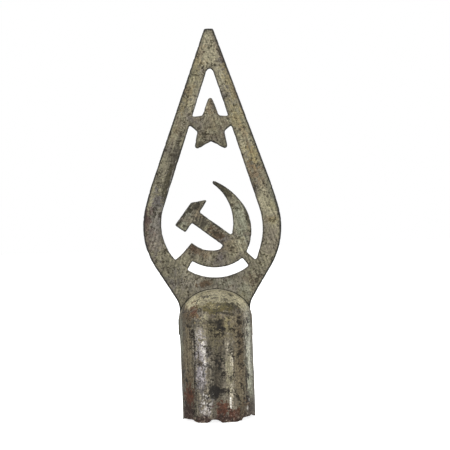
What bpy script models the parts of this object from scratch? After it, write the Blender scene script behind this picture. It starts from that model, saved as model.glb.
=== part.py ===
"""Flagpole finial: an openwork spear leaf of sheet steel, set in a slit across a drawn steel socket's dome.

Metres, +Z up. The socket stands on its rim, with its axis on Z and the rim's lowest points at z = 0. The
leaf's sheet lies in the XZ plane and its front faces -Y. A star stands in its window, above a hammer and a
sickle.
"""

import math

import bmesh
import bpy
from mathutils import Vector
from mathutils.geometry import delaunay_2d_cdt

# Clearance left between two pieces that touch on the real object
FIT_GAP = 0.0003

# Socket: a drawn cup that slips over the end of a wooden staff
SOCKET_BORE = 0.0400
SOCKET_WALL = 0.0012
SOCKET_STRAIGHT = 0.0573  # height of the straight wall, from the rim to where the dome starts
DOME_RISE = 0.0174
SLIT_DEPTH = 0.0090  # how far the slit runs down below the start of the dome

# Ragged rim: each break is its first and last angle, from the front towards +X, and its share of the depth
RIM_DEPTH = 0.0023
RIM_BREAKS = (
    (-82, -39, 0.65),
    (-16, 3, 1.00),
    (37, 94, 0.96),
    (131, 150, 0.70),
    (188, 214, 0.65),
    (250, 276, 0.78),
)
RIM_RAMP = 5  # degrees over which a break deepens
RIM_RIPPLE_SHARE = 0.12  # share of the depth that comes and goes along a break
RIPPLES = 13  # in a full turn

# Leaf: its sheet, and how it stands in the slit
PLATE_THICKNESS = 0.0025
EDGE_ROUND = 0.0005
LEAF_LENGTH = 0.1677  # from the start of the dome to the tip
LEAF_WIDTH = 0.0799
LEAF_LEAN = 1.1  # degrees, the tip towards +X
LEAF_SHIFT = -0.0011  # the whole blade sits a little to -X of the socket
LEAF_PROUD = 0.0005  # its left edge stands this far out of the slit
TONGUE_CLEAR = 0.0010  # between the tongue at its foot and the bore, each side
TONGUE_DROP = 0.0012
TANG_NECK_ROUND = 0.004
TANG_FOOT_ROUND = 0.0008

# Outline of the blade. Heights are shares of LEAF_LENGTH, and widths of half the leaf's width.
TIP_WIDTH = 0.0052
TIP_ROUND = 0.0011
SHOULDER_HEIGHT_SHARE = 0.453
SHOULDER_WIDTH_SHARE = 0.884
SHOULDER_ROUND = 0.100
BELLY_HEIGHT_SHARE = 0.278
BELLY_WIDTH_SHARE = 1.091
BELLY_ROUND = 0.044
WAIST_HEIGHT_SHARE = 0.048
WAIST_INSET = 0.0016  # how far the blade draws in above the socket
WAIST_OFFSET = 0.0007  # the waist stands to +X of the blade
WAIST_ROUND = 0.012

# Window of the leaf: a round foot, drawn up to a point. Heights are shares of LEAF_LENGTH.
BAR_WIDTH = 0.0107  # width of the side bars at the belly
WINDOW_HEIGHT_SHARE = 0.3286  # of the round foot's centre
WINDOW_OFFSET = 0.0017  # the round foot's centre lies this far to +X
WINDOW_FOOT_END = -41  # degrees, where the round foot ends on its right side
WINDOW_BELLY_HEIGHT_SHARE = 0.313
WINDOW_BELLY_ROUND = 0.038
APEX_HEIGHT_SHARE = 0.887
APEX_OFFSET = 0.0003
APEX_ROUND = 0.0019
SLOT_WIDTH = 0.0055  # width of the curved slot under the sickle

# Star, whose side and lower points run into the bars. Its sizes are shares of the window's radius.
STAR_HEIGHT_SHARE = 0.661  # share of LEAF_LENGTH
STAR_REACH_SHARE = 0.601  # to its sharp points, before they are rounded
STAR_FOOT_REACH_SHARE = 0.559  # the two lower points are shorter
STAR_NOTCH_REACH_SHARE = 0.268
STAR_TIP_ROUND = 0.0017
STAR_NOTCH_ROUND = 0.0004

# Hammer, measured along its head and along its handle from the outer corner of its striking face. Its sizes,
# and those of the sickle, are shares of the sickle's heel radius.
HAMMER_TILT = 52.2  # degrees of the head above the horizontal
HAMMER_PLACE = (-0.916, -0.004)  # of that corner, from the centre of the window's round foot
HEAD_LENGTH_SHARE = 0.637
HEAD_WIDTH_SHARE = 0.295
PEEN_REACH_SHARE = 0.279
HANDLE_START_SHARE = 0.267  # from the striking face
HANDLE_WIDTH_SHARE = 0.3065
HANDLE_LENGTH_SHARE = 1.297  # ends inside the sickle's blade
HAMMER_ROUND = 0.0007

# Sickle: each arc is its centre, seen from the centre of the window's round foot, its radius, and its first
# and last angle in degrees
SICKLE_NOSE = ((-0.680, -0.487), 1.619, 63.3, 43.0)
SICKLE_BACK = ((-0.228, -0.153), 1.053, 44.0, -28.4)
SICKLE_HEEL = ((0, 0), 1, -44.0, -139.8)
SICKLE_GRIP = ((-0.071, 0.079), 0.680, -134.0, -76.0)
SICKLE_CUTTING_EDGE = ((-0.668, 0.039), 1.077, -14.0, 53.0)

# Bridges that hold the sickle in the frame, each its first and last angle round the window's foot
GRIP_BRIDGE = (-139.8, -122.8)
HEEL_BRIDGE = (-53.6, -43.6)
BRIDGE_OVERLAP = 0.001

# Derived sizes
BORE_RADIUS = SOCKET_BORE / 2
OUTER_RADIUS = BORE_RADIUS + SOCKET_WALL
SLIT_END = SOCKET_STRAIGHT - SLIT_DEPTH
HALF_WIDTH = LEAF_WIDTH / 2
WINDOW_RADIUS = HALF_WIDTH - BAR_WIDTH + WINDOW_OFFSET
HEEL_RADIUS = WINDOW_RADIUS - SLOT_WIDTH

# How finely round shapes are cut into flats
ARC_STEP = 0.0006
OUTLINE_STEP = 0.0017
ROUND_TURNS = 96
DOME_RINGS = 8
MERGE = 1e-7
SHARP_CORNER = math.radians(18)  # a turn of an outline by more than this stays a corner
SHARP_EDGE = math.radians(30)  # an edge between faces that is steeper than this isn't shaded smooth
LONGEST_RUN_SHARE = 0.7  # share of an outline's side that the rounding at one of its ends may take


def lean(x, up):
    """A point of the blade, measured across and up from the start of the dome, as it stands in the socket."""
    angle = math.radians(LEAF_LEAN)
    return Vector((
        LEAF_SHIFT + x * math.cos(angle) + up * math.sin(angle),
        SOCKET_STRAIGHT + up * math.cos(angle) - x * math.sin(angle),
    ))


def polar(centre, radius, degrees):
    angle = math.radians(degrees)
    return centre + radius * Vector((math.cos(angle), math.sin(angle)))


def arc(centre, radius, first, last):
    """Points on a circle from one angle to another, in degrees."""
    count = max(2, math.ceil(radius * abs(math.radians(last - first)) / ARC_STEP))
    return [polar(centre, radius, first + (last - first) * i / count) for i in range(count + 1)]


def rounded(corners):
    """A closed outline through (point, radius) corners, each rounded with an arc of its radius."""
    outline = []
    for i, (corner, radius) in enumerate(corners):
        before = corners[i - 1][0] - corner
        after = corners[(i + 1) % len(corners)][0] - corner
        half_angle = before.angle(after) / 2
        longest = LONGEST_RUN_SHARE * min(before.length, after.length)
        run = min(radius / math.tan(half_angle), longest)
        radius = run * math.tan(half_angle)
        if radius < ARC_STEP / 10:
            outline.append(corner)
            continue
        inward = (before.normalized() + after.normalized()).normalized()
        centre = corner + inward * math.hypot(run, radius)
        start = corner + before.normalized() * run - centre
        end = corner + after.normalized() * run - centre
        first = math.degrees(math.atan2(start.y, start.x))
        turn = math.degrees(math.atan2(start.x * end.y - start.y * end.x, start.dot(end)))
        outline += arc(centre, radius, first, first + turn)
    return outline


def tangent_angle(point, centre, radius):
    """Where the line from a point touches the left side of a circle, as an angle of that circle."""
    away = point - centre
    return math.degrees(math.atan2(away.y, away.x) + math.acos(radius / away.length))


def blade_outline():
    """The leaf without its openings, with the tang that stands in the slit and its tongue, in the bore."""
    tang_foot = SLIT_END + FIT_GAP
    tongue_foot = tang_foot - TONGUE_DROP
    tongue_half = BORE_RADIUS - TONGUE_CLEAR
    tang_left = -OUTER_RADIUS - LEAF_PROUD
    waist_half = OUTER_RADIUS - WAIST_INSET
    flank = (
        (TIP_WIDTH / 2, LEAF_LENGTH, TIP_ROUND),
        (SHOULDER_WIDTH_SHARE * HALF_WIDTH, SHOULDER_HEIGHT_SHARE * LEAF_LENGTH, SHOULDER_ROUND),
        (BELLY_WIDTH_SHARE * HALF_WIDTH, BELLY_HEIGHT_SHARE * LEAF_LENGTH, BELLY_ROUND),
    )
    right = [(lean(x, up), radius) for x, up, radius in flank]
    left = [(lean(-x, up), radius) for x, up, radius in reversed(flank)]
    waist_height = WAIST_HEIGHT_SHARE * LEAF_LENGTH
    waist_right = (lean(WAIST_OFFSET + waist_half, waist_height), WAIST_ROUND)
    waist_left = (lean(WAIST_OFFSET - waist_half, waist_height), WAIST_ROUND)
    tang = [
        (Vector((OUTER_RADIUS, SOCKET_STRAIGHT)), TANG_NECK_ROUND),
        (Vector((OUTER_RADIUS, tang_foot)), TANG_FOOT_ROUND),
        (Vector((tongue_half, tang_foot)), 0),
        (Vector((tongue_half, tongue_foot)), 0),
        (Vector((-tongue_half, tongue_foot)), 0),
        (Vector((-tongue_half, tang_foot)), 0),
        (Vector((tang_left, tang_foot)), TANG_FOOT_ROUND),
        (Vector((tang_left, SOCKET_STRAIGHT)), TANG_NECK_ROUND),
    ]
    return rounded(right + [waist_right] + tang + [waist_left] + left)


def window_outline(centre):
    """The one large opening, before the star, hammer and sickle stand in it."""
    apex = lean(APEX_OFFSET, APEX_HEIGHT_SHARE * LEAF_LENGTH)
    belly = lean(WINDOW_RADIUS, WINDOW_BELLY_HEIGHT_SHARE * LEAF_LENGTH)
    foot = polar(centre, WINDOW_RADIUS, WINDOW_FOOT_END)
    touch = tangent_angle(apex, centre, WINDOW_RADIUS)
    left_side = polar(centre, WINDOW_RADIUS, touch)
    top = rounded([(left_side, 0), (apex, APEX_ROUND), (belly, WINDOW_BELLY_ROUND), (foot, 0)])
    return top + arc(centre, WINDOW_RADIUS, WINDOW_FOOT_END, touch - 360)[1:-1]


def bridge(centre, angles):
    """A piece of a ring across the curved slot, from inside the sickle to inside the frame."""
    first, last = angles
    in_sickle = HEEL_RADIUS - BRIDGE_OVERLAP
    in_frame = WINDOW_RADIUS + BRIDGE_OVERLAP
    return arc(centre, in_frame, first, last) + arc(centre, in_sickle, last, first)


def star_outline():
    centre = lean(APEX_OFFSET, STAR_HEIGHT_SHARE * LEAF_LENGTH)
    corners = []
    for point in range(5):
        angle = 90 - LEAF_LEAN - 72 * point
        reach = STAR_FOOT_REACH_SHARE if point in (2, 3) else STAR_REACH_SHARE
        corners.append((polar(centre, WINDOW_RADIUS * reach, angle), STAR_TIP_ROUND))
        corners.append((polar(centre, WINDOW_RADIUS * STAR_NOTCH_REACH_SHARE, angle - 36), STAR_NOTCH_ROUND))
    return rounded(corners)


def hammer_outline(centre):
    """Its head stands askew at the upper left, and its handle runs down into the sickle's blade."""
    corner = centre + HEEL_RADIUS * Vector(HAMMER_PLACE)
    along_head = polar(Vector((0, 0)), HEEL_RADIUS, HAMMER_TILT)
    along_handle = polar(Vector((0, 0)), HEEL_RADIUS, HAMMER_TILT - 90)
    handle_far = HANDLE_START_SHARE + HANDLE_WIDTH_SHARE
    peen_width = HEAD_WIDTH_SHARE - HAMMER_ROUND / HEEL_RADIUS
    marks = (
        (0, 0, HAMMER_ROUND),
        (HEAD_LENGTH_SHARE, 0, HAMMER_ROUND),
        (HEAD_LENGTH_SHARE + PEEN_REACH_SHARE, peen_width, HAMMER_ROUND),
        (handle_far, HEAD_WIDTH_SHARE, 0),
        (handle_far, HANDLE_LENGTH_SHARE, 0),
        (HANDLE_START_SHARE, HANDLE_LENGTH_SHARE, 0),
        (HANDLE_START_SHARE, HEAD_WIDTH_SHARE, 0),
        (0, HEAD_WIDTH_SHARE, HAMMER_ROUND),
    )
    return rounded([(corner + along_head * a + along_handle * b, radius) for a, b, radius in marks])


def sickle_outline(centre):
    """From its point, down the back, round the heel to the grip, and up the cutting edge."""
    nose, back, heel, grip, cutting_edge = [
        arc(centre + HEEL_RADIUS * Vector(place), HEEL_RADIUS * radius, first, last)
        for place, radius, first, last in
        (SICKLE_NOSE, SICKLE_BACK, SICKLE_HEEL, SICKLE_GRIP, SICKLE_CUTTING_EDGE)
    ]
    tip = (nose[0] + cutting_edge[-1]) / 2
    start = cutting_edge[-1] - tip
    first = math.degrees(math.atan2(start.y, start.x))
    return nose + back + heel + grip + cutting_edge + arc(tip, start.length, first, first - 180)[1:-1]


def counter_clockwise(outline):
    area = sum(a.cross(b) for a, b in zip(outline, outline[1:] + outline[:1]))
    return outline if area > 0 else outline[::-1]


def triangles_of(outlines, keep):
    """Cuts overlapping outlines into triangles, and keeps those whose set of owners passes the test."""
    points, rings = [], []
    for outline in map(counter_clockwise, outlines):
        rings.append(list(range(len(points), len(points) + len(outline))))
        points += outline
    verts, _, faces, sources, _, owners = delaunay_2d_cdt(points, [], rings, 0, MERGE, True)
    return verts, [face for face, owner in zip(faces, owners) if keep(set(owner))], sources


def boundary_loops(verts, faces):
    """The closed outlines round a set of triangles, with the material on their left."""
    sides = {(face[i - 1], face[i]) for face in faces for i in range(3)}
    follow = {a: b for a, b in sides if (b, a) not in sides}
    loops = []
    while follow:
        start, here = follow.popitem()
        loop = [start]
        while here != start:
            loop.append(here)
            here = follow.pop(here)
        loops.append([verts[i] for i in loop])
    return loops


def evenly_spaced(loop):
    """The same outline with its corners kept and the stretches between them cut into equal steps."""
    steps = [b - a for a, b in zip(loop, loop[1:] + loop[:1])]
    corners = [i for i in range(len(loop)) if steps[i - 1].angle(steps[i]) > SHARP_CORNER] or [0]
    points = []
    for here, after in zip(corners, corners[1:] + [corners[0] + len(loop)]):
        stretch = [loop[i % len(loop)] for i in range(here, after + 1)]
        lengths = [(b - a).length for a, b in zip(stretch, stretch[1:])]
        count = max(1, round(sum(lengths) / OUTLINE_STEP))
        gone, k = 0.0, 0
        for step in range(count):
            target = sum(lengths) * step / count
            while gone + lengths[k] < target:
                gone += lengths[k]
                k += 1
            points.append(stretch[k].lerp(stretch[k + 1], (target - gone) / lengths[k]))
    return points


def inset(loop, distance):
    """The outline moved into the material, which lies on its left."""
    moved = []
    for before, here, after in zip(loop[-1:] + loop[:-1], loop, loop[1:] + loop[:1]):
        first, second = (here - before).normalized(), (after - here).normalized()
        normal = (first + second).orthogonal().normalized()
        if normal.dot(first.orthogonal()) < 0:
            normal = -normal
        spread = max(0.5, normal.dot(first.orthogonal()))
        moved.append(here + normal * distance / spread)
    return moved


def leaf_loops():
    """The blade with its window and slot cut and its figures standing in them, as closed outlines."""
    centre = lean(WINDOW_OFFSET, WINDOW_HEIGHT_SHARE * LEAF_LENGTH)
    figures = [
        star_outline(),
        hammer_outline(centre),
        sickle_outline(centre),
        bridge(centre, GRIP_BRIDGE),
        bridge(centre, HEEL_BRIDGE),
    ]
    outlines = [blade_outline(), window_outline(centre)] + figures
    blade, window = 0, 1

    def is_metal(owners):
        return bool(owners - {blade, window}) or owners == {blade}

    verts, faces, _ = triangles_of(outlines, is_metal)
    return [evenly_spaced(loop) for loop in boundary_loops(verts, faces)]


def plate_mesh(name, loops):
    """A sheet in the XZ plane with the given outlines and its edges rounded at the front and the back."""
    mesh = bpy.data.meshes.new(name)
    shape = bmesh.new()
    half = PLATE_THICKNESS / 2
    slope = EDGE_ROUND * (1 - math.sin(math.radians(45)))
    front_edge = ((EDGE_ROUND, -half), (slope, -half + slope), (0, -half + EDGE_ROUND))
    back_edge = tuple((depth, -y) for depth, y in reversed(front_edge))
    front_verts, back_verts = [], []
    for loop in loops:
        rings = [
            [shape.verts.new((point.x, y, point.y)) for point in inset(loop, depth)]
            for depth, y in front_edge + back_edge
        ]
        for low, high in zip(rings, rings[1:]):
            for i in range(len(low)):
                shape.faces.new((low[i - 1], low[i], high[i], high[i - 1]))
        turn = 1 if counter_clockwise(loop) is loop else -1
        front_verts += rings[0][::turn]
        back_verts += rings[-1][::turn]
    outer = max(range(len(loops)), key=lambda i: max(p.y for p in loops[i]))
    flats = [inset(loop, EDGE_ROUND) for loop in loops]
    _, faces, sources = triangles_of(flats, lambda owners: owners == {outer})
    for face in faces:
        corners = [sources[i][0] for i in face]
        shape.faces.new([front_verts[i] for i in corners])
        shape.faces.new([back_verts[i] for i in reversed(corners)])
    bmesh.ops.recalc_face_normals(shape, faces=shape.faces)
    shape.to_mesh(mesh)
    shape.free()
    return mesh


def rim_height(degrees):
    """How far the worn rim stands above its lowest points."""
    ripple = 1 - RIM_RIPPLE_SHARE + RIM_RIPPLE_SHARE * math.sin(math.radians(RIPPLES * degrees))
    height = 0.0
    for first, last, share in RIM_BREAKS:
        away = abs((degrees - (first + last) / 2 + 180) % 360 - 180)
        inside = min(1.0, max(0.0, ((last - first) / 2 - away) / RIM_RAMP))
        height = max(height, RIM_DEPTH * share * inside * ripple)
    return height


def socket_mesh(name):
    """A cup turned upside down: outer wall and dome, inner wall and dome, joined at the rim."""
    mesh = bpy.data.meshes.new(name)
    shape = bmesh.new()

    def ring(radius, height):
        verts = []
        for i in range(ROUND_TURNS):
            degrees = 360 * i / ROUND_TURNS
            angle = math.radians(degrees - 90)
            z = rim_height(degrees) if height is None else height
            verts.append(shape.verts.new((radius * math.cos(angle), radius * math.sin(angle), z)))
        return verts

    def cap(radius, rise):
        rings = [ring(radius, None)]
        for i in range(DOME_RINGS):
            angle = math.radians(90 * i / DOME_RINGS)
            rings.append(ring(radius * math.cos(angle), SOCKET_STRAIGHT + rise * math.sin(angle)))
        top = shape.verts.new((0, 0, SOCKET_STRAIGHT + rise))
        for low, high in zip(rings, rings[1:]):
            for i in range(ROUND_TURNS):
                shape.faces.new((low[i - 1], low[i], high[i], high[i - 1]))
        for i in range(ROUND_TURNS):
            shape.faces.new((rings[-1][i - 1], rings[-1][i], top))
        return rings[0]

    outside = cap(OUTER_RADIUS, DOME_RISE)
    inside = cap(BORE_RADIUS, DOME_RISE - SOCKET_WALL)
    for i in range(ROUND_TURNS):
        shape.faces.new((inside[i - 1], inside[i], outside[i], outside[i - 1]))
    bmesh.ops.recalc_face_normals(shape, faces=shape.faces)
    shape.to_mesh(mesh)
    shape.free()
    return mesh


def slit_cutter():
    """A block that saws the slit across the dome and down both sides of the wall."""
    top = SOCKET_STRAIGHT + 2 * DOME_RISE
    mesh = bpy.data.meshes.new("slit_cutter")
    shape = bmesh.new()
    bmesh.ops.create_cube(shape, size=1)
    size = Vector((4 * OUTER_RADIUS, PLATE_THICKNESS + 2 * FIT_GAP, top - SLIT_END))
    bmesh.ops.scale(shape, vec=size, verts=shape.verts)
    bmesh.ops.translate(shape, vec=(0, 0, (top + SLIT_END) / 2), verts=shape.verts)
    shape.to_mesh(mesh)
    shape.free()
    cutter = bpy.data.objects.new("slit_cutter", mesh)
    cutter.hide_render = True
    cutter.display_type = "WIRE"
    bpy.context.scene.collection.objects.link(cutter)
    return cutter


def metal(name, colour, roughness, metallic):
    """Worn nickel plate over steel, dulled by dirt and rust."""
    material = bpy.data.materials.new(name)
    material.use_nodes = True
    shader = material.node_tree.nodes["Principled BSDF"]
    shader.inputs["Base Color"].default_value = (*colour, 1)
    shader.inputs["Roughness"].default_value = roughness
    shader.inputs["Metallic"].default_value = metallic
    return material


def add_piece(name, mesh, material):
    mesh.shade_smooth()
    mesh.set_sharp_from_angle(angle=SHARP_EDGE)
    mesh.materials.append(material)
    piece = bpy.data.objects.new(name, mesh)
    bpy.context.scene.collection.objects.link(piece)
    return piece


def main():
    for old in list(bpy.data.objects):
        bpy.data.objects.remove(old)
    dulled_plate = metal("dulled_plate", colour=(0.17, 0.16, 0.12), roughness=0.5, metallic=0.8)
    worn_nickel = metal("worn_nickel", colour=(0.30, 0.28, 0.25), roughness=0.35, metallic=0.9)
    add_piece("leaf", plate_mesh("leaf", leaf_loops()), dulled_plate)
    socket = add_piece("socket", socket_mesh("socket"), worn_nickel)
    slit = socket.modifiers.new("slit", "BOOLEAN")
    slit.operation = "DIFFERENCE"
    slit.object = slit_cutter()


main()
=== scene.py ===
import math

import bmesh
import bpy
import numpy as np
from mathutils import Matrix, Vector, noise
from mathutils.kdtree import KDTree


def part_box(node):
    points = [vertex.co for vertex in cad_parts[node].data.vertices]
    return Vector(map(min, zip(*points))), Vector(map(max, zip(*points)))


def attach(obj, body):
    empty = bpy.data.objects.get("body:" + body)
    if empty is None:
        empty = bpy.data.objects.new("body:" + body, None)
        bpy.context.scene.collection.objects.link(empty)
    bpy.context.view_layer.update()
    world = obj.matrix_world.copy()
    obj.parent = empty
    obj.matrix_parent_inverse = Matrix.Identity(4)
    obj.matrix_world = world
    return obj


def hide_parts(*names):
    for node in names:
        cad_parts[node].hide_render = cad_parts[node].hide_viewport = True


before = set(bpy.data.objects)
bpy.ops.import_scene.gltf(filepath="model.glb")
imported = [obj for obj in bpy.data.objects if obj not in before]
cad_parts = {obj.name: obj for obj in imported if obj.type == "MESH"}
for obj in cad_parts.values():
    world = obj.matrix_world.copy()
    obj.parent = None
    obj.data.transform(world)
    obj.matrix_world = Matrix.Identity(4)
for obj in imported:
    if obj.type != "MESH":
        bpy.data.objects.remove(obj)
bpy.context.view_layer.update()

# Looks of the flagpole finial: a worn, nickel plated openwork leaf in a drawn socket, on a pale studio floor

MM = 0.001

# Camera, level with the middle of the leaf and turned a little on its own axis
CAMERA_DISTANCE = 0.80
CAMERA_ACROSS = 7.4 * MM
CAMERA_HEIGHT = 111.3 * MM
CAMERA_ROLL = 2.15  # degrees
FRAME_WIDTH = 259.7 * MM  # what the picture takes in across, at the leaf

# Lamps: where each stands, in degrees round from the front to the right and in degrees up, the width and the
# height of its diffuser in metres, and its brightness
LAMP_DISTANCE = 1.2
LAMPS = (
    ("left_lamp", -44, 0, 0.80, 1.0, 2.4),
    ("right_lamp", 38, 0, 0.36, 1.0, 3.4),
    ("top_lamp", 0, 66, 0.90, 0.7, 6.0),
    ("right_side_lamp", 114, 5, 0.45, 1.0, 1.4),
    ("back_lamp", 180, 45, 1.40, 0.8, 3.5),
)
ROOM_IN_FRONT = 0.22  # how bright the white room is on the camera's side
ROOM_BEHIND = 0.40

# The real pieces
SOCKET_LOW, SOCKET_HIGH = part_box("socket")
SOCKET_RADIUS = (SOCKET_HIGH.x - SOCKET_LOW.x) / 2
SOCKET_WALL = 1.2 * MM
DOME_START = 57.3 * MM  # height where the socket's wall turns into its dome
DOME_RISE = SOCKET_HIGH.z - DOME_START
SLIT_END = DOME_START - 9 * MM  # how far down the slit is sawn
SLIT_WIDTH = 3.1 * MM
SHEET = 2.5 * MM

# The star's top arm, which the photo shows a little longer than the solid has it
STAR_MIDDLE = 1.7 * MM
STAR_TOP = 183.9 * MM
STAR_ARM_LOW = 175 * MM
STAR_ARM_REACH = 4.5 * MM  # to each side of its middle, short of the frame's bars
STAR_ARM_LONGER = 0.13

# How fine the two meshes are: under 200,000 triangles each
LEAF_STEP = 0.40 * MM
SOCKET_STEP = 0.52 * MM

# The leaf: its bars' lean in degrees, how far normals point out of the sheet on its faces at least and on its
# cut sides at most, and the widths of its worn edges, which also carry painted shade, and of the painted shadow
# in the seam against the dome
BAR_LEAN = 19
FACING = 0.9
SIDEWAYS = 0.6
EDGE_BAND = 2 * MM
SEAM_WIDTH = 1.1 * MM

# How deep wear may sink into the leaf's sheet
DEEPEST_WEAR = 0.5 * MM

# Heights up to which the socket's rim is eaten away, and rusty
RIM_EATEN = 4 * MM
RIM_RUSTED = 9 * MM

# Sizes of what shows in the finishes. The real pits and tool marks are 0.1 to 0.3 mm wide, too fine for the
# picture, and are drawn as coarse as they need to show
LEAF_PATCH = 14 * MM
LEAF_PIT = 1.3 * MM
LEAF_PORE_SPACING = 2.3 * MM
LEAF_SPOT_SPACING = 4.4 * MM
SOCKET_PATCH = 5 * MM
SOCKET_PIT = 1.1 * MM
GRIME_PATCH = 4.5 * MM
TOOL_MARK = 0.9 * MM
STAIN_EDGE = 2.4 * MM

# Colours of the dirt, the rust and the bare plate that the finishes have all over, and of their painted shade
# and painted highlight
LEAF_PIT_DIRT = "#3a3324"
LEAF_PORE_RUST = "#35291c"
LEAF_SPOT_DIRT = "#3a3024"
# Painted shade along the leaf's cut edges and painted shadow in its seam against the dome
LEAF_EDGE_SHADE = "#2c2b29"
SOCKET_PIT_DIRT = "#26201a"
# Painted shade in the socket's creases
SOCKET_CREASE_SHADE = "#2d2a27"
SOCKET_RUST = "#4a3226"
FLECK_OF_PLATE = "#b3a898"
# Painted highlight along the socket's slit
SLIT_EDGE_HIGHLIGHT = "#c4bda2"

# What covers the metal in places: its colour, and how much it still shines like metal
COVERS = {
    "bright nickel": ("#d0ccc2", 1.0),
    "lilac nickel": ("#8c8788", 0.8),
    "grey green nickel": ("#a8a891", 0.6),
    "pale khaki": ("#b9b192", 0.1),
    "dull khaki": ("#90896e", 0.1),
    "tan film": ("#9a8970", 0.3),
    "yellow film": ("#a3976f", 0.3),
    "olive film": ("#554c22", 0.1),
    "pink grey film": ("#93897a", 0.4),
    "purple brown film": ("#604a42", 0.3),
    "brown dirt": ("#5f4a33", 0.2),
    "warm brown film": ("#95886e", 0.4),
    "orange rust": ("#7b5e42", 0.1),
    "red rust": ("#633a27", 0.1),
    "dark rust": ("#3c2720", 0.1),
    "olive dirt": ("#423d29", 0.1),
    "thick olive dirt": ("#2f2a1b", 0.1),
    "grey dirt": ("#504b3f", 0.3),
    "black oxide": ("#221e1a", 0.2),
}

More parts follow.
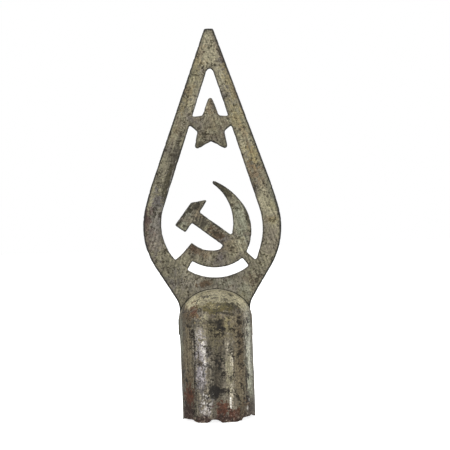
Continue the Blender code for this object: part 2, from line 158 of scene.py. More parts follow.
# On the leaf's front: the cover, its middle across and up in mm, its half width and half length in mm,
# its lean to the right in degrees, how much it covers, and how broken up it is. Later ones lie over earlier
LEAF_COVERS = (
    # The tip, the two upper bars and the star
    ("pale khaki", 1.5, 213.0, 6.0, 9.0, 0, 0.5, 0.8),
    ("thick olive dirt", 2.3, 224.8, 4.0, 1.4, 0, 0.8, 0.8),
    ("tan film", -3.0, 211.0, 2.5, 5.0, 0, 0.6, 1.2),
    ("purple brown film", 8.0, 211.0, 1.3, 8.0, -19, 0.45, 1.2),
    ("pale khaki", 8.0, 199.0, 2.8, 11.0, -19, 0.45, 1.1),
    ("yellow film", -10.0, 192.0, 3.2, 16.0, 19, 0.6, 1.1),
    ("brown dirt", 13.2, 199.5, 1.6, 7.0, -19, 0.5, 1.6),
    ("grey green nickel", -9.6, 196.0, 3.0, 6.0, 19, 0.3, 0.8),
    ("brown dirt", -11.0, 190.5, 2.8, 3.5, 19, 0.5, 1.3),
    ("yellow film", 13.5, 192.0, 2.6, 10.0, -19, 0.6, 1.0),
    ("brown dirt", 19.0, 181.5, 1.6, 8.0, -19, 0.6, 1.3),
    ("pale khaki", -8.5, 180.0, 4.0, 6.0, 15, 0.4, 0.9),
    ("pale khaki", -0.5, 178.0, 3.5, 5.0, 0, 0.55, 0.9),
    ("bright nickel", -5.5, 185.0, 0.9, 9.0, 19, 0.5, 0.8),
    ("grey dirt", -15.8, 161.0, 2.4, 8.0, 19, 0.4, 1.0),
    ("yellow film", 17.0, 170.0, 3.4, 12.0, -19, 0.6, 1.1),
    ("brown dirt", -18.0, 170.0, 2.0, 8.0, 19, 0.4, 1.6),
    ("pale khaki", 20.5, 159.0, 3.0, 8.0, -19, 0.65, 0.9),
    ("yellow film", 25.0, 151.0, 3.4, 6.0, -17, 0.9, 0.9),
    ("orange rust", 21.0, 162.0, 1.2, 8.0, -19, 0.4, 1.8),
    ("orange rust", 1.7, 180.5, 2.2, 4.0, 0, 0.4, 1.0),
    ("brown dirt", 3.0, 170.0, 7.0, 6.0, 0, 0.35, 2.4),
    ("olive dirt", -6.2, 159.0, 3.0, 2.0, 0, 0.7, 1.0),
    ("olive dirt", 8.4, 158.5, 2.4, 2.0, 0, 0.5, 1.0),
    # The lower left bar and its shoulder
    ("grey dirt", -20.3, 149.0, 2.6, 11.0, 18, 0.85, 0.8),
    ("olive dirt", -24.6, 137.0, 2.6, 12.0, 17, 0.85, 0.8),
    ("olive dirt", -31.4, 127.0, 1.8, 6.0, 17, 0.6, 1.2),
    ("bright nickel", -23.4, 136.5, 0.5, 9.0, 17, 0.6, 1.2),
    ("bright nickel", -29.2, 119.5, 0.6, 6.0, 14, 0.5, 0.8),
    ("lilac nickel", -33.5, 112.0, 5.0, 18.0, 6, 0.5, 0.9),
    ("purple brown film", -37.5, 113.0, 2.6, 15.0, 0, 0.75, 1.4),
    ("dark rust", -38.6, 117.0, 1.4, 5.5, 0, 0.7, 1.6),
    ("pink grey film", -34.0, 103.0, 5.0, 8.0, -12, 0.5, 1.0),
    # The lower right bar and its shoulder
    ("orange rust", 26.0, 141.0, 3.0, 6.0, -17, 0.5, 2.0),
    ("pale khaki", 30.6, 124.5, 3.0, 9.0, -17, 0.65, 0.9),
    ("thick olive dirt", 39.5, 108.5, 0.8, 11.0, 0, 0.7, 1.0),
    ("thick olive dirt", 36.8, 124.0, 0.7, 9.0, -16, 0.6, 1.0),
    ("grey green nickel", 35.0, 130.0, 1.6, 8.0, -15, 0.5, 1.0),
    ("pale khaki", 35.0, 110.0, 4.0, 7.0, 0, 0.4, 1.0),
    ("brown dirt", 32.5, 113.8, 5.0, 1.6, 0, 0.5, 1.6),
    ("yellow film", 35.0, 112.8, 2.2, 1.6, 0, 0.7, 1.0),
    ("pink grey film", 34.0, 100.0, 5.0, 8.0, 8, 0.6, 0.8),
    # The hammer
    ("grey green nickel", -13.5, 120.0, 3.0, 5.0, 45, 0.6, 0.8),
    ("thick olive dirt", -9.4, 122.2, 1.8, 3.6, 52, 0.85, 0.8),
    ("thick olive dirt", -15.3, 118.4, 1.1, 7.5, 37, 0.9, 1.2),
    ("thick olive dirt", -18.7, 113.0, 1.2, 1.7, 45, 0.9, 0.9),
    ("grey green nickel", -16.4, 111.8, 2.5, 2.5, 0, 0.6, 0.6),
    ("tan film", -7.5, 117.6, 3.2, 3.0, 0, 0.5, 0.8),
    ("grey dirt", -3.5, 112.0, 2.6, 8.0, -53, 0.85, 1.3),
    ("brown dirt", 2.0, 107.0, 3.0, 5.0, -47, 0.8, 0.8),
    ("thick olive dirt", 1.8, 107.2, 1.6, 3.0, -47, 0.7, 1.2),
    ("thick olive dirt", 1.7, 111.6, 0.6, 10.0, -47, 0.7, 1.0),
    # The sickle
    ("grey dirt", 4.0, 135.5, 1.8, 4.0, -53, 0.9, 0.8),
    ("olive dirt", 8.4, 131.5, 2.0, 6.0, -42, 0.9, 0.7),
    ("grey green nickel", 16.5, 114.0, 4.0, 9.0, -4, 0.9, 0.8),
    ("olive dirt", 20.0, 116.5, 0.9, 7.0, -8, 0.8, 1.2),
    ("grey green nickel", 17.0, 101.0, 3.6, 5.0, 0, 0.7, 0.8),
    ("pale khaki", 14.0, 98.0, 6.0, 5.0, 0, 0.5, 1.0),
    ("brown dirt", 9.0, 99.5, 6.0, 3.0, 0, 0.4, 2.2),
    ("brown dirt", -9.5, 97.5, 4.6, 2.6, 30, 0.8, 1.0),
    ("dark rust", -10.0, 98.0, 2.4, 1.4, 30, 0.6, 1.6),
    ("tan film", -4.0, 95.5, 4.5, 3.0, 0, 0.5, 1.2),
    # The foot
    ("grey dirt", -24.0, 86.0, 4.0, 7.0, -20, 0.45, 1.0),
    ("pale khaki", -13.0, 84.0, 4.5, 7.0, 0, 0.5, 1.1),
    ("lilac nickel", 0.0, 79.0, 28.0, 9.0, 0, 0.3, 0.8),
    ("pale khaki", -24.5, 98.0, 2.6, 4.0, -25, 0.35, 1.0),
    ("grey dirt", -1.0, 77.0, 7.0, 2.2, 0, 0.5, 1.3),
    ("brown dirt", -6.1, 78.5, 3.2, 2.0, 0, 0.8, 1.4),
    ("olive dirt", 2.0, 82.0, 12.0, 1.4, 0, 0.6, 2.0),
    ("grey green nickel", 5.5, 78.0, 4.5, 2.5, 0, 0.35, 0.8),
    ("brown dirt", 21.5, 79.5, 5.0, 4.5, 0, 0.45, 1.4),
    ("grey green nickel", 17.5, 73.0, 3.5, 5.0, 0, 0.5, 0.8),
)

# On the socket's front, in the same form
SOCKET_COVERS = (
    # Films over the dome and the top of the wall
    ("dull khaki", 0.5, 72.5, 18.0, 4.0, 0, 0.9, 0.4),
    ("dull khaki", 0.5, 68.5, 20.0, 5.0, 0, 0.85, 0.4),
    ("pale khaki", -13.0, 67.5, 4.0, 5.0, 35, 0.9, 0.5),
    ("pale khaki", 14.5, 67.0, 3.6, 6.0, -35, 0.9, 0.5),
    ("warm brown film", 11.5, 56.0, 5.0, 7.0, 0, 0.6, 1.0),
    # Bright streaks down the left of the front
    ("lilac nickel", -8.0, 43.0, 4.0, 16.0, 0, 0.85, 1.2),
    ("bright nickel", -9.5, 54.0, 1.6, 8.0, 0, 0.25, 2.6),
    ("grey dirt", -7.5, 57.5, 5.5, 5.5, 0, 0.75, 2.2),
    ("bright nickel", -7.0, 40.0, 1.2, 9.0, 0, 0.5, 2.4),
    ("lilac nickel", -9.3, 26.0, 3.2, 10.0, 0, 0.9, 0.8),
    # The left side, browner, with rust low down
    ("red rust", -12.0, 63.0, 2.4, 3.2, 0, 0.8, 1.6),
    ("brown dirt", -15.5, 61.0, 2.6, 4.0, 0, 0.7, 1.2),
    ("warm brown film", -16.5, 36.0, 2.8, 22.0, 0, 0.8, 0.8),
    ("grey green nickel", -20.8, 47.0, 2.0, 12.0, 0, 0.6, 0.9),
    ("brown dirt", -20.8, 20.0, 1.6, 16.0, 0, 0.35, 1.0),
    ("brown dirt", -17.0, 22.0, 2.2, 10.0, 0, 0.45, 1.4),
    ("red rust", -16.7, 14.5, 2.6, 6.0, 0, 0.9, 0.8),
    ("dark rust", -17.5, 5.0, 3.2, 5.5, 0, 0.95, 0.6),
    # The dirty middle
    ("yellow film", 1.0, 52.0, 9.0, 9.0, 0, 0.6, 1.2),
    ("grey dirt", 0.5, 42.0, 5.5, 12.0, 0, 0.55, 1.6),
    ("grey dirt", -1.0, 27.0, 5.0, 7.0, 0, 0.5, 1.6),
    ("black oxide", 1.7, 33.5, 3.0, 2.2, 0, 0.8, 1.6),
    ("black oxide", 1.8, 55.8, 3.8, 2.6, 0, 0.8, 1.2),
    ("black oxide", 3.8, 51.7, 1.8, 2.4, 0, 0.8, 1.2),
    ("black oxide", -3.2, 57.2, 2.0, 1.8, 0, 0.7, 1.4),
    # Yellow and olive dirt where the dome turns into the wall
    ("yellow film", 6.2, 56.8, 1.6, 2.2, 0, 0.9, 0.8),
    ("pale khaki", -5.3, 60.2, 2.0, 1.6, 0, 0.6, 0.8),
    ("olive film", 1.0, 65.0, 11.0, 3.2, 0, 0.9, 0.5),
    ("yellow film", -0.5, 65.6, 4.0, 1.4, 0, 0.5, 0.6),
    ("olive dirt", 4.0, 66.8, 7.0, 0.9, -10, 0.7, 1.6),
    ("thick olive dirt", 11.5, 65.2, 4.0, 1.6, 35, 0.8, 1.8),
    ("thick olive dirt", 6.5, 61.4, 5.0, 0.8, 15, 0.8, 1.2),
    # The large blot low in the middle
    ("black oxide", -1.2, 18.2, 4.6, 3.6, 0, 0.95, 0.45),
    ("black oxide", -2.7, 15.0, 3.0, 1.8, 0, 0.8, 0.8),
    # The right side, with its pale streaks
    ("pale khaki", 7.2, 29.0, 1.8, 11.0, 0, 0.7, 1.6),
    ("bright nickel", 6.9, 10.5, 0.7, 5.5, 0, 0.7, 0.6),
    ("grey dirt", 7.8, 43.0, 2.2, 5.0, 0, 0.4, 1.4),
    ("warm brown film", 12.8, 30.0, 3.4, 28.0, 0, 0.85, 0.6),
    ("brown dirt", 13.6, 42.0, 1.2, 14.0, 0, 0.4, 1.2),
    # The light band down the right edge: partly shining plate, partly a painted reflection of the white
    # surroundings, its colour made lighter
    ("grey green nickel", 18.6, 34.0, 2.2, 26.0, 0, 0.9, 0.8),
    ("bright nickel", 18.4, 38.0, 1.2, 14.0, 0, 0.4, 1.6),
    # Rubbed and rusted places at the rim
    ("grey dirt", -8.0, 15.0, 4.0, 7.0, 0, 0.55, 1.2),
    ("lilac nickel", -6.0, 8.0, 3.4, 5.0, 0, 0.6, 1.6),
    ("bright nickel", -7.6, 11.0, 1.0, 3.6, 8, 0.4, 2.4),
    ("bright nickel", -5.0, 8.0, 0.8, 4.6, 12, 0.4, 2.4),
    ("dark rust", -8.0, 1.5, 9.0, 2.2, 0, 0.85, 1.0),
    ("dark rust", 4.0, 2.5, 9.0, 3.6, 0, 0.9, 1.0),
    ("red rust", 2.5, 8.5, 4.6, 3.2, 0, 0.9, 1.2),
    ("red rust", 9.0, 5.0, 3.4, 3.0, 0, 0.9, 0.9),
    ("brown dirt", 13.5, 6.0, 2.4, 5.0, 0, 0.5, 1.0),
    ("dark rust", 18.0, 7.5, 2.2, 5.5, 0, 0.7, 1.0),
    ("orange rust", 16.4, 10.0, 0.8, 4.0, 0, 0.9, 1.0),
    ("bright nickel", 17.0, 12.0, 0.5, 1.8, 0, 0.9, 0.8),
    ("bright nickel", 16.4, 7.3, 0.5, 1.6, 0, 0.8, 0.8),
)

# Shallow creases of the socket's front, darkened with painted shade: where each starts and ends, across and up,
# and its width, in mm
SOCKET_CREASES = (
    (-1.5, 62.0, 3.0, 62.2, 0.9),
    (3.0, 62.2, 8.0, 61.0, 0.7),
    (-13.0, 55.0, -12.6, 38.0, 0.8),
    (-12.6, 38.0, -13.8, 20.0, 0.7),
    (16.2, 57.0, 17.0, 34.0, 0.8),
    (17.0, 34.0, 16.2, 10.0, 0.7),
)

# How far a cover reaches back from the front in mm, which keeps it off the back
COVER_DEPTH_ON_LEAF = 1.6
COVER_DEPTH_ON_SOCKET = 14

# Painted shade along the leaf's cut sides and painted shadow in its seam: at what nearness to the edge it sets
# in and where it is full, from 0 to 1 on the edge less a share of the grime noise, and how much it covers
LEAF_EDGE_SHADE_LINES = (
    ("outer edge", -0.05, 1.15, 0.5),
    ("outer edge", 0.25, 0.5, 0.85),
    ("inner edge", 0.35, 0.6, 0.7),
    ("seam", 0.25, 0.6, 0.9),
)

# Rust at the socket's rim and on its inside, in the same form
SOCKET_RUSTED_PARTS = (
    ("rim", 0.2, 0.5, 0.8),
    ("inside", 0.15, 0.4, 0.9),
)


def finer_copy(node, name, step):
    """A copy of a node's mesh, made of small even faces so that its surface can carry relief."""
    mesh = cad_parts[node].data.copy()
    shape = bmesh.new()
    shape.from_mesh(mesh)
    bmesh.ops.remove_doubles(shape, verts=shape.verts, dist=0.001 * MM)
    shape.to_mesh(mesh)
    shape.free()
    coarse = bpy.data.objects.new(name, mesh)
    bpy.context.scene.collection.objects.link(coarse)
    remesh = coarse.modifiers.new("even faces", "REMESH")
    remesh.mode = "VOXEL"
    remesh.voxel_size = step
    bpy.context.view_layer.update()
    fine = bpy.data.meshes.new_from_object(coarse.evaluated_get(bpy.context.evaluated_depsgraph_get()))
    bpy.data.objects.remove(coarse)
    fine.materials.clear()
    fine.shade_smooth()
    piece = bpy.data.objects.new(name, fine)
    bpy.context.scene.collection.objects.link(piece)
    return piece


def read_points(mesh, what):
    """The places or the normals of a mesh's points, one row each."""
    rows = np.zeros(len(mesh.vertices) * 3)
    mesh.vertices.foreach_get(what, rows)
    return rows.reshape(-1, 3)


def read_edges(mesh):
    """The two points of each edge, one row each."""
    pairs = np.zeros(len(mesh.edges) * 2, dtype=np.int64)
    mesh.edges.foreach_get("vertices", pairs)
    return pairs.reshape(-1, 2)


def move_points(mesh, places):
    mesh.vertices.foreach_set("co", places.astype(np.float32).ravel())
    mesh.update()


def keep(mesh, name, values):
    """Stores a number for each point of the mesh, for its material to read."""
    attribute = mesh.attributes.new(name, "FLOAT", "POINT")
    attribute.data.foreach_set("value", values.astype(np.float32))


def smoothed(mesh, places, times, share=0.5):
    """The points, each moved towards the middle of its neighbours."""
    pairs = read_edges(mesh)
    count = np.bincount(pairs.ravel(), minlength=len(places))[:, None]
    for _ in range(times):
        total = np.zeros_like(places)
        np.add.at(total, pairs[:, 0], places[pairs[:, 1]])
        np.add.at(total, pairs[:, 1], places[pairs[:, 0]])
        places = places + (total / count - places) * share
    return places


def fading(distances, full, gone):
    """1 up to one distance, falling evenly to 0 at another."""
    return np.clip((gone - distances) / (gone - full), 0, 1)


def clouds(places, size, octaves=3, seed=0):
    """Soft noise from about -1 to 1 at each point, with blotches of about the given size."""
    shift = Vector((13.1, 7.7, 3.9)) * (seed + 1)
    return np.array([noise.fractal(Vector(place) / size + shift, 1.0, 2.0, octaves) for place in places])


def rolling(places, size, depth, seed=0):
    """How far each point sinks in waves of about the given size."""
    return (0.5 + 0.5 * clouds(places, size, seed=seed)) * depth


def ragged(places, size, depth, seed):
    """How far each point sinks in bites of about the given size, with untouched places between them."""
    return np.clip(clouds(places, size, seed=seed), 0, 1) * depth


def pits(places, spacing, radius, depth, seed=0):
    """How far each point sinks in pits strewn at about the given spacing."""
    shift = Vector((5.3, 9.1, 2.7)) * (seed + 1)
    near = np.array([noise.voronoi(Vector(place) / spacing + shift)[0][0] for place in places])
    return fading(near * spacing, 0, radius) * depth


def nearness(places, marks, reach):
    """1 at the marks, falling to 0 at the given distance from them."""
    tree = KDTree(len(marks))
    for i, mark in enumerate(marks):
        tree.insert(mark, i)
    tree.balance()
    return fading(np.array([tree.find(place)[2] for place in places]), 0, reach)


def along(places, crease):
    """1 along a wavering crease of the front, falling to 0 at its own width from it."""
    from_across, from_up, to_across, to_up, width = np.array(crease) * MM
    start = np.array((from_across, from_up))
    run = np.array((to_across, to_up)) - start
    from_start = places[:, [0, 2]] + clouds(places, 4 * MM, seed=8)[:, None] * MM - start
    share = np.clip(from_start @ run / (run @ run), 0, 1)
    away = np.linalg.norm(from_start - share[:, None] * run, axis=1)
    return np.where(places[:, 1] < 0, fading(away, 0, width), 0)


def cut_sides(mesh, places, normals):
    """The points on the sheet's cut sides: those of its outer outline, and those of its openings."""
    side = np.abs(normals[:, 1]) < SIDEWAYS
    neighbours = {}
    for a, b in read_edges(mesh).tolist():
        if side[a] and side[b]:
            neighbours.setdefault(a, []).append(b)
            neighbours.setdefault(b, []).append(a)
    groups = []
    seen = set()
    for start in neighbours:
        if start in seen:
            continue
        seen.add(start)
        group = [start]
        waiting = [start]
        while waiting:
            for other in neighbours[waiting.pop()]:
                if other not in seen:
                    seen.add(other)
                    group.append(other)
                    waiting.append(other)
        groups.append(group)
    groups.sort(key=lambda group: np.ptp(places[group][:, 2]))
    return groups[-1], [i for group in groups[:-1] for i in group]


def openwork_leaf():
    """The stamped sheet: nearly flat, its edges rounded by wear, and pitted all over."""
    piece = finer_copy("leaf", "openwork_leaf", LEAF_STEP)
    mesh = piece.data
    places = smoothed(mesh, read_points(mesh, "co"), 2)
    from_arm = np.abs(places[:, 0] - STAR_MIDDLE)
    on_arm = fading(from_arm, STAR_ARM_REACH - 1 * MM, STAR_ARM_REACH)
    on_arm[(places[:, 2] < STAR_ARM_LOW) | (places[:, 2] > STAR_TOP + 3 * MM)] = 0
    places[:, 2] += on_arm * (places[:, 2] - STAR_ARM_LOW) * STAR_ARM_LONGER
    flat = np.abs(read_points(mesh, "normal")[:, 1]) > FACING
    places[flat, 1] = np.sign(places[flat, 1]) * SHEET / 2
    move_points(mesh, places)
    normals = read_points(mesh, "normal")
    outer, inner = cut_sides(mesh, places, normals)
    at_outer_edge = nearness(places, places[outer], EDGE_BAND)
    at_inner_edge = nearness(places, places[inner], EDGE_BAND)
    at_edge = np.maximum(at_outer_edge, at_inner_edge)

    # A little bowed and uneven, nicked at its edges and pitted, and less so where the dome holds it
    sunk = rolling(places, size=22 * MM, depth=0.10 * MM)
    sunk += rolling(places, size=5 * MM, depth=0.05 * MM, seed=1)
    sunk += ragged(places, size=2.2 * MM, depth=0.30 * MM, seed=2) * at_edge ** 2
    sunk += pits(places, spacing=2.2 * MM, radius=0.75 * MM, depth=0.10 * MM)
    sunk[places[:, 2] < SOCKET_HIGH.z] *= 0.3
    move_points(mesh, places - normals * np.clip(sunk, 0, DEEPEST_WEAR)[:, None])

    above_dome_start = np.clip(places[:, 2] - DOME_START, 0, None)
    around_dome = np.hypot(places[:, 0] / SOCKET_RADIUS, above_dome_start / DOME_RISE)
    keep(mesh, "outer edge", at_outer_edge)
    keep(mesh, "inner edge", at_inner_edge)
    keep(mesh, "seam", fading(np.abs(around_dome - 1) * SOCKET_RADIUS, 0, SEAM_WIDTH))
    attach(piece, "root")
    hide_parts("leaf")
    return piece


def drawn_socket():
    """The cup: truly round again after the faceted solid, then dented, pitted and worn ragged at its rim."""
    piece = finer_copy("socket", "drawn_socket", SOCKET_STEP)
    mesh = piece.data
    places = smoothed(mesh, read_points(mesh, "co"), 2)
    from_axis = np.hypot(places[:, 0], places[:, 1])
    up = np.clip(places[:, 2] - DOME_START, 0, None)
    on_inside = np.zeros(len(places), dtype=bool)
    for depth in (0, SOCKET_WALL):
        reach = np.hypot(from_axis / (SOCKET_RADIUS - depth), up / (DOME_RISE - depth))
        on = np.abs(reach - 1) * SOCKET_RADIUS < 0.3 * SOCKET_WALL
        places[on, :2] /= reach[on, None]
        places[on, 2] = np.where(up[on] > 0, DOME_START + up[on] / reach[on], places[on, 2])
        if depth:
            on_inside = on
    move_points(mesh, places)
    normals = read_points(mesh, "normal")

    # Long waves, dents, pits, a rim eaten by rust, lines from the drawing die, and creases
    creases = np.max([along(places, crease) for crease in SOCKET_CREASES], axis=0)
    sunk = rolling(places * (1, 1, 0.4), size=9 * MM, depth=0.30 * MM, seed=3)
    sunk += rolling(places, size=4 * MM, depth=0.12 * MM, seed=4)
    sunk += pits(places, spacing=2.4 * MM, radius=0.8 * MM, depth=0.10 * MM, seed=5)
    sunk += ragged(places, size=1.8 * MM, depth=0.4 * MM, seed=6) * fading(places[:, 2], 0, RIM_EATEN)
    sunk += rolling(places * (1, 1, 0.06), size=1.6 * MM, depth=0.07 * MM, seed=7)
    sunk += creases * 0.06 * MM
    by_slit = (np.abs(places[:, 1]) < SLIT_WIDTH * 0.75) & (places[:, 2] > SLIT_END - 1 * MM)
    sunk[by_slit] *= 0.2
    move_points(mesh, places - normals * sunk[:, None])

    # The slit's lips are hammered down onto the sheet
    closed = read_points(mesh, "co")
    from_sheet = np.abs(closed[:, 1]) - SHEET / 2
    lip = fading(from_sheet, 0.7 * MM, 2.0 * MM) * fading(SLIT_END - closed[:, 2], 0, 2 * MM)
    closed[:, 1] -= np.sign(closed[:, 1]) * np.clip(from_sheet, 0, None) * lip
    move_points(mesh, closed)

    from_slit = np.abs(places[:, 1]) - SLIT_WIDTH / 2
    keep(mesh, "slit edge", fading(from_slit, 0.45 * MM, 1.95 * MM) * (places[:, 2] >= SLIT_END))
    keep(mesh, "rim", fading(places[:, 2], 0, RIM_RUSTED))
    keep(mesh, "inside", on_inside.astype(float))
    keep(mesh, "crease", creases)
    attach(piece, "root")
    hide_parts("socket")
    return piece


def linear(colour):
    """An sRGB hex colour as linear red, green, blue and alpha."""
    parts = [int(colour[i:i + 2], 16) / 255 for i in (1, 3, 5)]
    return [c / 12.92 if c <= 0.04045 else ((c + 0.055) / 1.055) ** 2.4 for c in parts] + [1.0]


def main_output(node):
    """A node's output in use, as one node kind has several for its several modes."""
    return next(output for output in node.outputs if output.enabled)


def add(tree, kind, inputs=(), stops=(), **settings):
    """Adds a node. An input takes a value, a hex colour, a node or an output. Stops are a ramp's colours."""
    made = tree.nodes.new("ShaderNode" + kind)
    for name, value in settings.items():
        setattr(made, name, value)
    for name, value in dict(inputs).items():
        socket = next(s for s in made.inputs if s.enabled and name in (s.name, s.identifier))
        if isinstance(value, bpy.types.Node):
            tree.links.new(main_output(value), socket)
        elif isinstance(value, bpy.types.NodeSocket):
            tree.links.new(value, socket)
        else:
            socket.default_value = linear(value) if isinstance(value, str) else value
    for i, (position, colour) in enumerate(stops):
        element = made.color_ramp.elements[i] if i < 2 else made.color_ramp.elements.new(position)
        element.position = position
        element.color = linear(colour)
    return made


def covered(tree, place, colour, shine, covers, radius):
    """The colour and the shine of the metal, with its ragged stains, films and bright places over them."""
    ragged_edge = add(tree, "TexNoise", {
        "Vector": place, "Scale": 1 / STAIN_EDGE, "Detail": 5, "Roughness": 0.72,
    }, normalize=False)
    for cover, across, up, half_width, half_length, lean, strength, broken in covers:
        cover_colour, cover_shine = COVERS[cover]
        forward = SHEET / 2
        back = COVER_DEPTH_ON_LEAF
        if radius:
            rise = max(0, up * MM - DOME_START) / DOME_RISE
            forward = math.sqrt(max(0, radius ** 2 * (1 - rise ** 2) - (across * MM) ** 2))
            back = COVER_DEPTH_ON_SOCKET
        within = add(tree, "Mapping", {
            "Vector": place, "Location": (across * MM, -forward, up * MM),
            "Rotation": (0, math.radians(lean), 0), "Scale": Vector((half_width, back, half_length)) * MM,
        }, vector_type="TEXTURE")
        away = add(tree, "VectorMath", {"Vector": within}, operation="LENGTH")
        uneven = add(tree, "Math", {
            "Value": ragged_edge, "Value_001": broken, "Value_002": away,
        }, operation="MULTIPLY_ADD")
        mask = add(tree, "MapRange", {
            "Value": uneven, "From Min": 1.2, "From Max": 0.7, "To Max": strength,
        }, interpolation_type="SMOOTHSTEP")
        colour = add(tree, "Mix", {"Factor": mask, "A": colour, "B": cover_colour}, data_type="RGBA")
        shine = add(tree, "Mix", {"Factor": mask, "A": shine, "B": cover_shine}, data_type="FLOAT")
    return colour, shine


def new_material(name):
    """A new material, its nodes, its shader, and the place on the object that its patterns follow."""
    material = bpy.data.materials.new(name)
    material.use_nodes = True
    tree = material.node_tree
    return material, tree, tree.nodes["Principled BSDF"], add(tree, "TexCoord").outputs["Object"]


def dulled_plate():
    """Nickel plate on sheet steel, dulled by weather."""
    # The sheet was ground and then plated. It was bright once. Now it is a mottled khaki that hardly mirrors,
    # with faint grinding lines, dark pits where the plate has failed, and brown stains of rust from under it
    material, tree, shader, place = new_material("dulled_nickel_plate")
    patches = add(tree, "TexNoise", {
        "Vector": place, "Scale": 1 / LEAF_PATCH, "Detail": 4, "Roughness": 0.65,
    })
    colour = add(tree, "ValToRGB", {"Fac": patches}, stops=[
        (0.30, "#77706a"), (0.72, "#aaa382"), (0.44, "#8a8370"), (0.58, "#98927a"),
    ])
    colour, shine = covered(tree, place, colour, 0.5, LEAF_COVERS, 0)

    # The grinding lines run lengthwise along each of the leaf's bars
    across = add(tree, "SeparateXYZ", {"Vector": place}).outputs["X"]
    side = add(tree, "Math", {"Value": across}, operation="SIGN")
    folded = add(tree, "VectorMath", {"Vector": place}, operation="ABSOLUTE")
    turned = add(tree, "Mapping", {"Vector": folded, "Rotation": (0, math.radians(BAR_LEAN), 0)})
    ground = add(tree, "Mapping", {"Vector": turned, "Scale": (1, 1, 0.07)})
    scratches = add(tree, "TexNoise", {
        "Vector": ground, "W": side, "Scale": 1 / TOOL_MARK, "Detail": 3, "Roughness": 0.6,
    }, noise_dimensions="4D")
    lines = add(tree, "MapRange", {
        "Value": scratches, "From Min": 0.3, "From Max": 0.7, "To Min": 0.58, "To Max": 1.45,
    })
    colour = add(tree, "Mix", {
        "Factor": 1.0, "A": colour, "B": lines,
    }, data_type="RGBA", blend_type="MULTIPLY")

    # Fine pits, with more dirt in them where the grime is thicker
    mottle = add(tree, "TexNoise", {"Vector": place, "Scale": 1 / LEAF_PIT, "Detail": 5, "Roughness": 0.85})
    grime = add(tree, "TexNoise", {"Vector": place, "Scale": 1 / GRIME_PATCH, "Detail": 3, "Roughness": 0.65})
    shade = add(tree, "MapRange", {
        "Value": mottle, "From Min": 0.35, "From Max": 0.65, "To Min": 0.33, "To Max": 1.75,
    })
    colour = add(tree, "Mix", {
        "Factor": 1.0, "A": colour, "B": shade,
    }, data_type="RGBA", blend_type="MULTIPLY")
    both = add(tree, "Math", {
        "Value": grime, "Value_001": -0.9, "Value_002": mottle,
    }, operation="MULTIPLY_ADD")
    speck = add(tree, "MapRange", {"Value": both, "From Min": -0.02, "From Max": -0.1, "To Max": 0.8})
    colour = add(tree, "Mix", {"Factor": speck, "A": colour, "B": LEAF_PIT_DIRT}, data_type="RGBA")

    # Rusty pores, and larger spots of dirt between them
    pores = add(tree, "TexVoronoi", {"Vector": place, "Scale": 1 / LEAF_PORE_SPACING, "Randomness": 1.0})
    pore = add(tree, "MapRange", {"Value": pores, "From Min": 0.20, "From Max": 0.08, "To Max": 0.6})
    colour = add(tree, "Mix", {"Factor": pore, "A": colour, "B": LEAF_PORE_RUST}, data_type="RGBA")
    spots = add(tree, "TexVoronoi", {"Vector": place, "Scale": 1 / LEAF_SPOT_SPACING, "Randomness": 1.0})
    strewn = add(tree, "Math", {
        "Value": grime, "Value_001": 0.5, "Value_002": spots,
    }, operation="MULTIPLY_ADD")
    spot = add(tree, "MapRange", {"Value": strewn, "From Min": 0.47, "From Max": 0.40, "To Max": 0.7})
    colour = add(tree, "Mix", {"Factor": spot, "A": colour, "B": LEAF_SPOT_DIRT}, data_type="RGBA")

    # Painted shade as a dark line along the cut edges, and painted shadow in the seam against the dome
    for edge, starts, full, strength in LEAF_EDGE_SHADE_LINES:
        nearby = add(tree, "Attribute", attribute_name=edge).outputs["Fac"]
        broken = add(tree, "Math", {
            "Value": grime, "Value_001": -0.3, "Value_002": nearby,
        }, operation="MULTIPLY_ADD")
        mask = add(tree, "MapRange", {
            "Value": broken, "From Min": starts, "From Max": full, "To Max": strength,
        })
        colour = add(tree, "Mix", {"Factor": mask, "A": colour, "B": LEAF_EDGE_SHADE}, data_type="RGBA")

    tree.links.new(main_output(colour), shader.inputs["Base Color"])
    tree.links.new(main_output(shine), shader.inputs["Metallic"])
    rough = add(tree, "MapRange", {"Value": shine, "From Max": 1.0, "To Min": 0.7, "To Max": 0.38})
    tree.links.new(main_output(rough), shader.inputs["Roughness"])
    bump = add(tree, "Bump", {"Height": mottle, "Strength": 0.3, "Distance": 0.15 * MM})
    tree.links.new(main_output(bump), shader.inputs["Normal"])
    return material


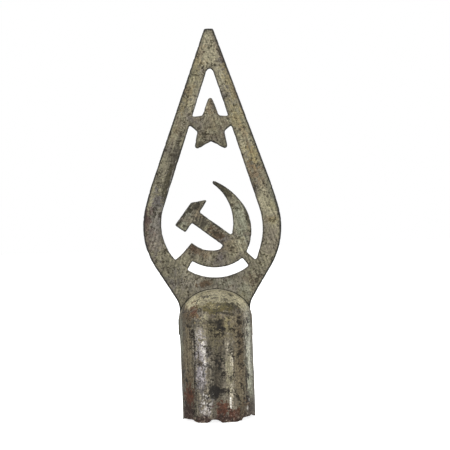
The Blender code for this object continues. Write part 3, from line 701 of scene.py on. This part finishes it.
def worn_nickel():
    """Bright nickel plate on drawn steel, worn through in places."""
    # The cup was drawn in a die, polished and plated. What is left of the plate mirrors in broken streaks
    # down the wall, with dull films over it, black oxide and dirt in its pits, and rust where the steel is bare
    material, tree, shader, place = new_material("worn_bright_nickel")
    drawn = add(tree, "Mapping", {"Vector": place, "Scale": (1, 1, 0.22)})
    patches = add(tree, "TexNoise", {
        "Vector": drawn, "Scale": 1 / SOCKET_PATCH, "Detail": 5, "Roughness": 0.65,
    })
    colour = add(tree, "ValToRGB", {"Fac": patches}, stops=[
        (0.30, "#5b5142"), (0.72, "#a09a8c"), (0.43, "#797060"), (0.58, "#8d8676"),
    ])
    shine = add(tree, "MapRange", {
        "Value": patches, "From Min": 0.38, "From Max": 0.62, "To Min": 0.35, "To Max": 0.95,
    })
    colour, shine = covered(tree, place, colour, shine, SOCKET_COVERS, SOCKET_RADIUS)

    # Fine lines from the drawing die, down the wall
    down_wall = add(tree, "Mapping", {"Vector": place, "Scale": (1, 1, 0.05)})
    lines = add(tree, "TexNoise", {
        "Vector": down_wall, "Scale": 1 / TOOL_MARK, "Detail": 3, "Roughness": 0.6,
    })
    light_lines = add(tree, "MapRange", {
        "Value": lines, "From Min": 0.3, "From Max": 0.7, "To Min": 0.62, "To Max": 1.3,
    })
    colour = add(tree, "Mix", {
        "Factor": 1.0, "A": colour, "B": light_lines,
    }, data_type="RGBA", blend_type="MULTIPLY")

    # Rust along the rim, and all over the inside
    for part, starts, full, strength in SOCKET_RUSTED_PARTS:
        nearby = add(tree, "Attribute", attribute_name=part).outputs["Fac"]
        rusty = add(tree, "Math", {"Value": nearby, "Value_001": patches}, operation="MULTIPLY")
        mask = add(tree, "MapRange", {
            "Value": rusty, "From Min": starts, "From Max": full, "To Max": strength,
        })
        colour = add(tree, "Mix", {"Factor": mask, "A": colour, "B": SOCKET_RUST}, data_type="RGBA")
        shine = add(tree, "Mix", {"Factor": mask, "A": shine, "B": 0.1}, data_type="FLOAT")

    # Flecks of plate left among the rust of the rim
    mottle = add(tree, "TexNoise", {"Vector": place, "Scale": 1 / SOCKET_PIT, "Detail": 5, "Roughness": 0.85})
    left = add(tree, "MapRange", {"Value": mottle, "From Min": 0.54, "From Max": 0.62, "To Max": 0.7})
    at_rim = add(tree, "Attribute", attribute_name="rim").outputs["Fac"]
    fleck = add(tree, "Math", {"Value": left, "Value_001": at_rim}, operation="MULTIPLY")
    colour = add(tree, "Mix", {"Factor": fleck, "A": colour, "B": FLECK_OF_PLATE}, data_type="RGBA")
    shine = add(tree, "Mix", {"Factor": fleck, "A": shine, "B": 0.9}, data_type="FLOAT")

    # Grime in the pits, where the plate has lifted, and painted shade in the creases
    shade = add(tree, "MapRange", {
        "Value": mottle, "From Min": 0.35, "From Max": 0.65, "To Min": 0.28, "To Max": 1.8,
    })
    colour = add(tree, "Mix", {
        "Factor": 1.0, "A": colour, "B": shade,
    }, data_type="RGBA", blend_type="MULTIPLY")
    grime = add(tree, "TexNoise", {"Vector": place, "Scale": 1 / GRIME_PATCH, "Detail": 3, "Roughness": 0.6})
    both = add(tree, "Math", {
        "Value": grime, "Value_001": -0.9, "Value_002": mottle,
    }, operation="MULTIPLY_ADD")
    speck = add(tree, "MapRange", {"Value": both, "From Min": -0.01, "From Max": -0.06, "To Max": 0.85})
    colour = add(tree, "Mix", {"Factor": speck, "A": colour, "B": SOCKET_PIT_DIRT}, data_type="RGBA")
    # Painted shade along the creases
    crease = add(tree, "Attribute", attribute_name="crease").outputs["Fac"]
    crease_shade = add(tree, "Math", {
        "Value": mottle, "Value_001": -0.8, "Value_002": crease,
    }, operation="MULTIPLY_ADD")
    mask = add(tree, "MapRange", {"Value": crease_shade, "From Min": -0.1, "From Max": 0.5, "To Max": 0.6})
    colour = add(tree, "Mix", {"Factor": mask, "A": colour, "B": SOCKET_CREASE_SHADE}, data_type="RGBA")

    # Painted highlight along the dome's edges at the slit, as where their cut edges face the lamp above
    slit_edge = add(tree, "Attribute", attribute_name="slit edge").outputs["Fac"]
    slit_highlight = add(tree, "Math", {"Value": slit_edge, "Value_001": 0.6}, operation="MULTIPLY")
    colour = add(tree, "Mix", {"Factor": slit_highlight, "A": colour, "B": SLIT_EDGE_HIGHLIGHT}, data_type="RGBA")

    tree.links.new(main_output(colour), shader.inputs["Base Color"])
    tree.links.new(main_output(shine), shader.inputs["Metallic"])
    rough = add(tree, "MapRange", {"Value": shine, "From Max": 1.0, "To Min": 0.7, "To Max": 0.26})
    tree.links.new(main_output(rough), shader.inputs["Roughness"])
    bump = add(tree, "Bump", {"Height": mottle, "Strength": 0.35, "Distance": 0.12 * MM})
    tree.links.new(main_output(bump), shader.inputs["Normal"])
    return material


def pale_floor():
    """White paper, which the camera sees and the metal doesn't reflect, as if it had been lit from afar."""
    mesh = bpy.data.meshes.new("pale_floor")
    reach = 6.0
    corners = [(-reach, -reach, 0), (reach, -reach, 0), (reach, reach, 0), (-reach, reach, 0)]
    mesh.from_pydata(corners, [], [(0, 1, 2, 3)])
    floor = bpy.data.objects.new("pale_floor", mesh)
    bpy.context.scene.collection.objects.link(floor)
    floor.visible_glossy = False
    floor.visible_diffuse = False
    mesh.materials.append(white_paper())


def white_paper():
    """Matt white backdrop paper."""
    # Pressed and uncoated, so it has no shine. It glows a little less close round the rim, like a soft shadow
    material, tree, shader, place = new_material("white_paper")
    shader.inputs["Base Color"].default_value = linear("#f4f4f2")
    shader.inputs["Roughness"].default_value = 0.9
    shader.inputs["Emission Color"].default_value = linear("#ffffff")
    away = add(tree, "VectorMath", {"Vector": place}, operation="LENGTH")
    glow = add(tree, "MapRange", {
        "Value": away, "From Min": 0.03, "From Max": 0.25, "To Min": 0.88, "To Max": 1.0,
    })
    tree.links.new(main_output(glow), shader.inputs["Emission Strength"])
    return material


def soft_box(name, azimuth, elevation, width, height, brightness):
    """A lamp behind a diffuser, turned to the object."""
    light = bpy.data.lights.new(name, "AREA")
    light.shape = "RECTANGLE"
    light.size = width
    light.size_y = height
    light.energy = brightness * width * height * math.pi
    lamp = bpy.data.objects.new(name, light)
    across = math.radians(azimuth)
    up = math.radians(elevation)
    way = Vector((math.sin(across) * math.cos(up), -math.cos(across) * math.cos(up), math.sin(up)))
    lamp.location = Vector((0, 0, CAMERA_HEIGHT)) + way * LAMP_DISTANCE
    lamp.rotation_euler = way.to_track_quat("Z", "Y").to_euler()
    lamp.visible_camera = False
    bpy.context.scene.collection.objects.link(lamp)


def studio_light():
    """The lamps, and a white room that is darker than it looks, so that the metal keeps its contrast."""
    for lamp in LAMPS:
        soft_box(*lamp)
    world = bpy.data.worlds.new("white_room")
    bpy.context.scene.world = world
    world.use_nodes = True
    tree = world.node_tree
    background = tree.nodes["Background"]
    direction = add(tree, "SeparateXYZ", {"Vector": add(tree, "TexCoord").outputs["Generated"]})
    room = add(tree, "MapRange", {
        "Value": direction.outputs["Y"], "From Min": 0.0, "From Max": 0.3,
        "To Min": ROOM_IN_FRONT, "To Max": ROOM_BEHIND,
    })
    seen = add(tree, "LightPath")
    strength = add(tree, "Mix", {
        "Factor": seen.outputs["Is Camera Ray"], "A": room, "B": 1.0,
    }, data_type="FLOAT")
    tree.links.new(main_output(strength), background.inputs["Strength"])
    background.inputs["Color"].default_value = linear("#ffffff")
    bpy.context.scene.view_settings.view_transform = "Standard"


def camera():
    data = bpy.data.cameras.new("camera")
    data.sensor_width = 36
    data.lens = data.sensor_width * CAMERA_DISTANCE / FRAME_WIDTH
    made = bpy.data.objects.new("camera", data)
    made.location = (CAMERA_ACROSS, -CAMERA_DISTANCE, CAMERA_HEIGHT)
    made.rotation_euler = (math.radians(90), math.radians(CAMERA_ROLL), 0)
    bpy.context.scene.collection.objects.link(made)
    bpy.context.scene.camera = made


camera()
studio_light()
pale_floor()
openwork_leaf().data.materials.append(dulled_plate())
drawn_socket().data.materials.append(worn_nickel())
